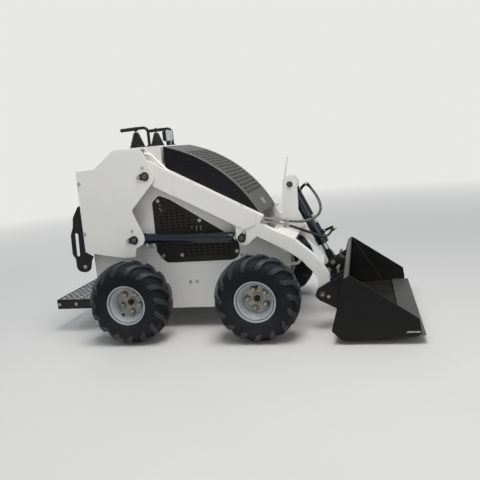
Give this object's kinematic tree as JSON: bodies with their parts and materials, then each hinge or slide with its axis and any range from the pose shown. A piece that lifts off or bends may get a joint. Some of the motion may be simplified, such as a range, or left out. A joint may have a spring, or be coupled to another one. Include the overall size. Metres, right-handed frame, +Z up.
{
  "type": "skid steer loader",
  "caption": "Small stand-on skid steer loader: box body on lugged wheels, side lifting arms with rams, front bucket, curved hood and rear platform.",
  "frame": {"origin": "bottom centre of the machine's bounding box, on the ground between the wheels", "axes": "+X forward to the bucket, +Y the machine's left, +Z up"},
  "size_m": [2.268, 1.15, 1.274],
  "materials": {
    "white_paint": "gloss",
    "black_paint": "satin",
    "bucket_paint": "satin",
    "ram_paint": "gloss",
    "ram_chrome": "polished",
    "zinc_steel": "satin",
    "edge_steel": "worn",
    "galvanized": "matt",
    "hub_zinc": "yellow zinc",
    "rim_paint": "satin",
    "tyre_rubber": "matt",
    "boot_rubber": "matt",
    "hose_rubber": "ribbed",
    "black_plastic": "matt",
    "hood_plastic": "grained",
    "engine_iron": "cast"
  },
  "bodies": {
    "chassis": {"chassis_frame": "white_paint", "tower_plates": "white_paint", "side_grilles": "black_paint", "tower_pins": "zinc_steel", "console": "white_paint", "lever_boots": "boot_rubber", "control_levers": "black_plastic", "handrails": "black_paint", "work_lamp": "black_plastic", "platform_frame": "black_paint", "platform_tread": "galvanized", "rear_brackets": "black_paint", "engine_block": "engine_iron", "tow_loop": "white_paint", "wheel_motors": "black_paint"},
    "hood": {"hood_top": "hood_plastic", "hood_sides": "hood_plastic", "hood_latch": "zinc_steel"},
    "lift_arm": {"lift_arms": "white_paint", "arm_covers": "white_paint", "arm_pins": "zinc_steel", "tilt_tower": "white_paint", "hydraulic_tubes": "zinc_steel", "hose_upper": "hose_rubber", "hose_lower": "hose_rubber"},
    "lift_barrel": {"lift_barrels": "ram_paint"},
    "lift_rod": {"lift_rods": "ram_chrome"},
    "tilt_barrel": {"tilt_barrel": "ram_paint"},
    "tilt_rod": {"tilt_rod": "ram_chrome"},
    "bucket": {"quick_attach": "black_paint", "bucket_pins": "zinc_steel", "bucket_shell": "bucket_paint", "cutting_edge": "edge_steel"},
    "wheel_front_right": {"tyre_front_right": "tyre_rubber", "rim_front_right": "rim_paint", "hub_front_right": "hub_zinc"},
    "wheel_front_left": {"tyre_front_left": "tyre_rubber", "rim_front_left": "rim_paint", "hub_front_left": "hub_zinc"},
    "wheel_rear_right": {"tyre_rear_right": "tyre_rubber", "rim_rear_right": "rim_paint", "hub_rear_right": "hub_zinc"},
    "wheel_rear_left": {"tyre_rear_left": "tyre_rubber", "rim_rear_left": "rim_paint", "hub_rear_left": "hub_zinc"}
  },
  "joints": [
    {"name": "hood_hinge", "type": "hinge", "parent": "chassis", "child": "hood", "pos_m": [-0.30799, 0, 1.128], "axis": [0, -1, 0], "range_deg": [0, 50]},
    {"name": "lift", "type": "hinge", "parent": "chassis", "child": "lift_arm", "pos_m": [-0.40199, 0, 0.975], "axis": [0, -1, 0], "range_deg": [0, 62]},
    {"name": "tilt", "type": "hinge", "parent": "lift_arm", "child": "bucket", "pos_m": [0.59501, 0, 0.218], "axis": [0, 1, 0], "range_deg": [-18, 80]},
    {"name": "lift_ram_swing", "type": "hinge", "parent": "chassis", "child": "lift_barrel", "pos_m": [-0.51999, 0, 0.597], "axis": [0, -1, 0], "range_deg": [-1, 46]},
    {"name": "lift_ram_stroke", "type": "slide", "parent": "lift_barrel", "child": "lift_rod", "axis": [0.9992, 0, -0.0404], "range_m": [-0.001, 0.347]},
    {"name": "tilt_ram_swing", "type": "hinge", "parent": "lift_arm", "child": "tilt_barrel", "pos_m": [0.41501, 0, 0.842], "axis": [0, -1, 0], "range_deg": [-1, 3]},
    {"name": "tilt_ram_stroke", "type": "slide", "parent": "tilt_barrel", "child": "tilt_rod", "axis": [0.4181, 0, -0.9084], "range_m": [-0.036, 0.157]},
    {"name": "wheel_front_right_spin", "type": "hinge", "parent": "chassis", "child": "wheel_front_right", "pos_m": [0.23901, -0.4675, 0.2475], "axis": [0, 1, 0], "continuous": true},
    {"name": "wheel_front_left_spin", "type": "hinge", "parent": "chassis", "child": "wheel_front_left", "pos_m": [0.23901, 0.4675, 0.2475], "axis": [0, 1, 0], "continuous": true},
    {"name": "wheel_rear_right_spin", "type": "hinge", "parent": "chassis", "child": "wheel_rear_right", "pos_m": [-0.52899, -0.4675, 0.2475], "axis": [0, 1, 0], "continuous": true},
    {"name": "wheel_rear_left_spin", "type": "hinge", "parent": "chassis", "child": "wheel_rear_left", "pos_m": [-0.52899, 0.4675, 0.2475], "axis": [0, 1, 0], "continuous": true}
  ],
  "couplings": [
    {"joint": "lift_ram_swing", "follows": "lift", "ratio": 0.7362},
    {"joint": "lift_ram_stroke", "follows": "lift", "m_per_rad": 0.3192},
    {"joint": "tilt_ram_swing", "follows": "tilt", "ratio": 0.0306},
    {"joint": "tilt_ram_stroke", "follows": "tilt", "m_per_rad": 0.1113}
  ]
}
